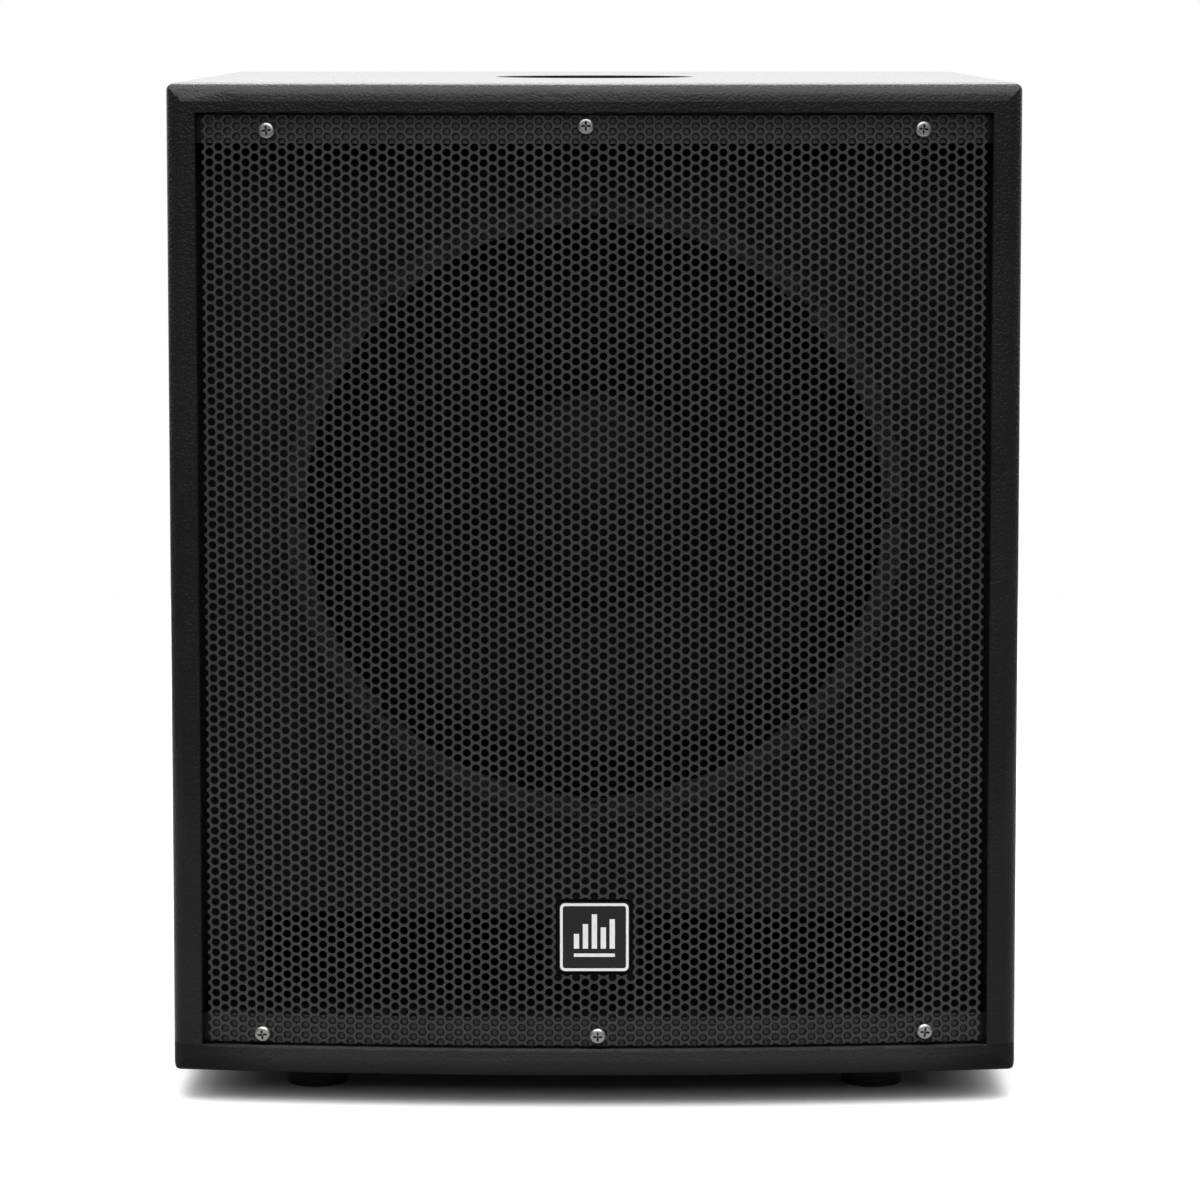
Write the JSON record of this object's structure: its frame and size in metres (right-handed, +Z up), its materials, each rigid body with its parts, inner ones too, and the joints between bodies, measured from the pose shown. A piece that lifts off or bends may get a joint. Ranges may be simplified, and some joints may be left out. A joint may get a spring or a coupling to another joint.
{
  "type": "subwoofer cabinet",
  "caption": "Bass-reflex subwoofer cabinet with a bowed perforated front grille, slot port, side handles, pole socket and a rear amplifier panel.",
  "frame": {"origin": "centre of the footprint, on the floor under the feet", "axes": "+Z up, -Y out of the grille, +X to the right seen from the front"},
  "size_m": [0.517, 0.5599, 0.618],
  "materials": {
    "cabinet_paint": "black textured polyurethane paint on plywood",
    "baffle_paint": "matt black paint on plywood",
    "bare_plywood": "unpainted birch plywood",
    "wadding": "white polyester wadding",
    "grille_steel": "black powder coat",
    "bright_screws": "bright nickel plate",
    "badge_black": "satin dark grey",
    "badge_white": "white print, slightly raised",
    "black_sheet": "matt black sheet steel",
    "basket_steel": "black semi-gloss paint on pressed steel",
    "gasket_cork": "dark compressed cork",
    "black_screws": "black zinc plate",
    "zinc_steel": "zinc plate",
    "ferrite": "dark grey sintered ferrite",
    "coil_former": "amber polyimide on aluminium",
    "copper": "lacquered copper wire",
    "cone_paper": "black fibre pulp with a doped surface",
    "surround_cloth": "black treated cloth",
    "spider_cloth": "amber treated cotton",
    "terminal_plastic": "red and black moulded terminals",
    "cable_rubber": "black two-core cable sheath",
    "foot_rubber": "black moulded rubber",
    "pole_steel": "black powder coat on pressed steel",
    "handle_plastic": "black grained polypropylene",
    "plate_steel": "black fine-texture powder coat",
    "bare_chassis": "zinc-coated sheet",
    "heatsink_black": "black anodised extrusion",
    "circuit_board": "green circuit board with parts",
    "transformer_wrap": "yellow tape over windings",
    "knob_plastic": "black soft-touch plastic",
    "switch_plastic": "black gloss plastic",
    "housing_plastic": "black moulded plastic",
    "lens": "tinted clear plastic"
  },
  "bodies": {
    "root": {"top_panel": "cabinet_paint", "bottom_panel": "cabinet_paint", "left_side_panel": "cabinet_paint", "right_side_panel": "cabinet_paint", "back_panel": "cabinet_paint", "front_baffle": "baffle_paint", "port_shelf": "baffle_paint", "port_brace": "baffle_paint", "grille_batten_top": "baffle_paint", "grille_batten_bottom": "baffle_paint", "cross_brace": "bare_plywood", "damping_pads": "wadding", "grille": "grille_steel", "grille_screws": "bright_screws", "badge_plate": "badge_black", "badge_mark": "badge_white", "badge_retainer": "black_sheet", "driver_basket": "basket_steel", "driver_gasket": "gasket_cork", "driver_bolts": "black_screws", "countersunk_screws": "black_screws", "amp_screws": "black_screws", "driver_tnuts": "zinc_steel", "magnet_front_plate": "zinc_steel", "magnet_yoke": "zinc_steel", "foot_screws": "zinc_steel", "pot_bodies": "zinc_steel", "magnet_ring": "ferrite", "surround": "surround_cloth", "spider": "spider_cloth", "driver_terminals": "terminal_plastic", "speaker_cable": "cable_rubber", "foot_front_left": "foot_rubber", "foot_front_right": "foot_rubber", "foot_rear_left": "foot_rubber", "foot_rear_right": "foot_rubber", "pole_mount": "pole_steel", "handle_left": "handle_plastic", "handle_right": "handle_plastic", "amp_plate": "plate_steel", "amp_chassis": "bare_chassis", "amp_heatsink": "heatsink_black", "amp_board": "circuit_board", "amp_transformer": "transformer_wrap", "phase_switch_body": "housing_plastic", "rocker_housing": "housing_plastic", "mains_inlet": "housing_plastic", "signal_inputs": "housing_plastic", "signal_outputs": "housing_plastic", "indicator_lenses": "lens"},
    "cone_assembly": {"cone": "cone_paper", "dust_cap": "cone_paper", "voice_coil_former": "coil_former", "voice_coil": "copper"},
    "level_control": {"level_knob": "knob_plastic", "level_shaft": "zinc_steel"},
    "crossover_control": {"crossover_knob": "knob_plastic", "crossover_shaft": "zinc_steel"},
    "phase_control": {"phase_button": "switch_plastic"},
    "power_control": {"power_rocker": "switch_plastic"}
  },
  "joints": [
    {"name": "cone_stroke", "type": "slide", "parent": "root", "child": "cone_assembly", "axis": [0, -1, 0], "range_m": [-0.007, 0.007], "stiffness_N_per_m": 4000, "deforming": ["surround", "spider"]},
    {"name": "level_turn", "type": "hinge", "parent": "root", "child": "level_control", "pos_m": [0.075, 0.25, 0.3], "axis": [0, 1, 0], "range_deg": [-150, 150]},
    {"name": "crossover_turn", "type": "hinge", "parent": "root", "child": "crossover_control", "pos_m": [0.025, 0.25, 0.3], "axis": [0, 1, 0], "range_deg": [-150, 150]},
    {"name": "phase_press", "type": "slide", "parent": "root", "child": "phase_control", "axis": [0, -1, 0], "range_m": [0, 0.002], "stiffness_N_per_m": 400},
    {"name": "power_tilt", "type": "hinge", "parent": "root", "child": "power_control", "pos_m": [0, 0.251, 0.189], "axis": [1, 0, 0], "range_deg": [0, 20]}
  ]
}
